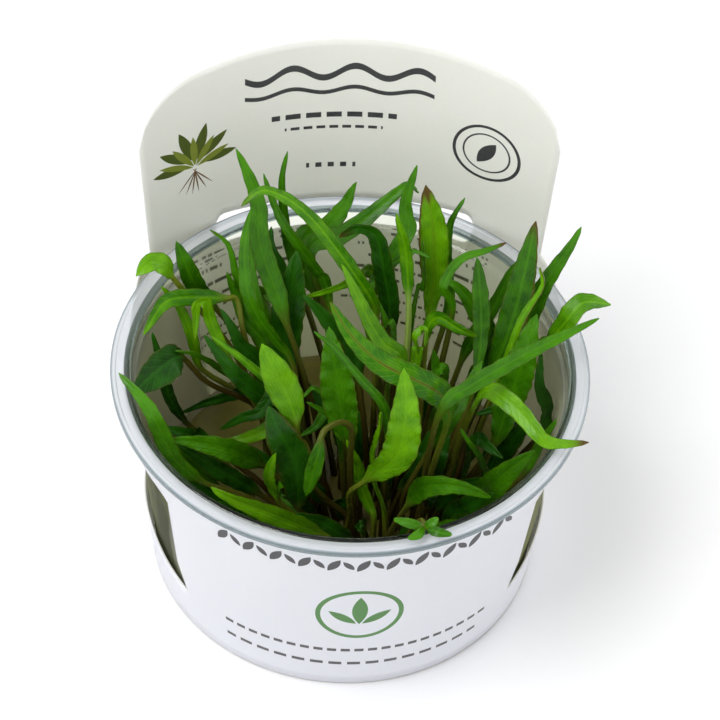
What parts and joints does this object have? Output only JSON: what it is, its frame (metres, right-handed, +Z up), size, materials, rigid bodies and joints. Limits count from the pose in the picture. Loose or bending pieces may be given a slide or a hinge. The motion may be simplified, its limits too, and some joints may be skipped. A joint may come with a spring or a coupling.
{
  "type": "young water plant in a clear culture cup",
  "caption": "Young water plant with a clump of long narrow leaves, growing in a clear flanged culture cup inside a card sleeve with a tall rounded display card.",
  "frame": {"origin": "centre of the cup's flat underside, on the surface that it stands on", "axes": "+Z up along the cup's axis; -Y is the front, where the sleeve has its front panel; +Y is the back, where the display card stands; +X is the right as seen from the front"},
  "size_m": [0.1071, 0.1067, 0.1028],
  "materials": {
    "clear_plastic": "gloss",
    "label_card": "satin",
    "culture_gel": "satin",
    "leaf_bright": "satin",
    "leaf_green": "satin",
    "leaf_deep": "satin"
  },
  "bodies": {
    "root": {"cup": "clear_plastic", "label_sleeve": "label_card", "culture_gel": "culture_gel", "young_shoot": "leaf_bright", "leaf_back_left_broad": "leaf_green", "leaf_left_glossy_tall": "leaf_green", "leaf_centre_arching": "leaf_bright", "leaf_centre_under_arch": "leaf_bright", "leaf_back_left_slim": "leaf_green", "leaf_back_left_spear": "leaf_green", "leaf_left_deep_broad": "leaf_deep", "leaf_back_wavy": "leaf_green", "leaf_back_right_arch": "leaf_green", "leaf_back_centre_spear": "leaf_green", "leaf_centre_pale_upright": "leaf_bright", "leaf_right_brown_tipped": "leaf_bright", "leaf_back_right_bent_tip": "leaf_green", "leaf_right_yellow_stalk": "leaf_green", "leaf_right_bowed": "leaf_green", "leaf_right_wet_upright": "leaf_green", "leaf_right_tall_broad": "leaf_green", "leaf_right_behind_tall": "leaf_green", "leaf_right_bright_edge": "leaf_bright", "leaf_far_right_spear": "leaf_green", "leaf_far_right_folded": "leaf_bright", "leaf_right_long_diagonal": "leaf_green", "leaf_right_over_rim": "leaf_bright", "leaf_right_low_spike": "leaf_green", "leaf_right_broad_upright": "leaf_green", "leaf_right_deep_broad": "leaf_deep", "leaf_front_right_broad": "leaf_green", "leaf_front_right_spear": "leaf_green", "leaf_right_wet_blade": "leaf_green", "leaf_centre_bent": "leaf_bright", "leaf_centre_long_broad": "leaf_bright", "leaf_centre_long_slim": "leaf_green", "leaf_centre_wavy_broad": "leaf_green", "leaf_centre_rolled": "leaf_bright", "leaf_front_broad_upright": "leaf_bright", "leaf_back_dark_arch": "leaf_deep", "leaf_front_hooked": "leaf_green", "leaf_left_curled": "leaf_bright", "leaf_left_grey_broad": "leaf_deep", "leaf_left_bright_broad": "leaf_bright", "leaf_front_left_spear": "leaf_bright", "leaf_front_low_dark": "leaf_deep", "leaf_left_lower_broad": "leaf_green", "leaf_left_low_shade": "leaf_deep", "leaf_far_left_over_rim": "leaf_green", "leaf_left_rim_broad": "leaf_deep", "leaf_left_wall_stalk": "leaf_deep", "leaf_left_low_dark": "leaf_deep", "leaf_left_bent_tip": "leaf_bright", "leaf_left_spoon": "leaf_green", "leaf_left_slim_upright": "leaf_bright", "leaf_left_arch_over_rim": "leaf_bright", "leaf_left_drooping": "leaf_bright", "leaf_left_diagonal": "leaf_deep", "leaf_left_bright_slim": "leaf_bright", "leaf_left_bent_thin": "leaf_green"}
  },
  "joints": []
}
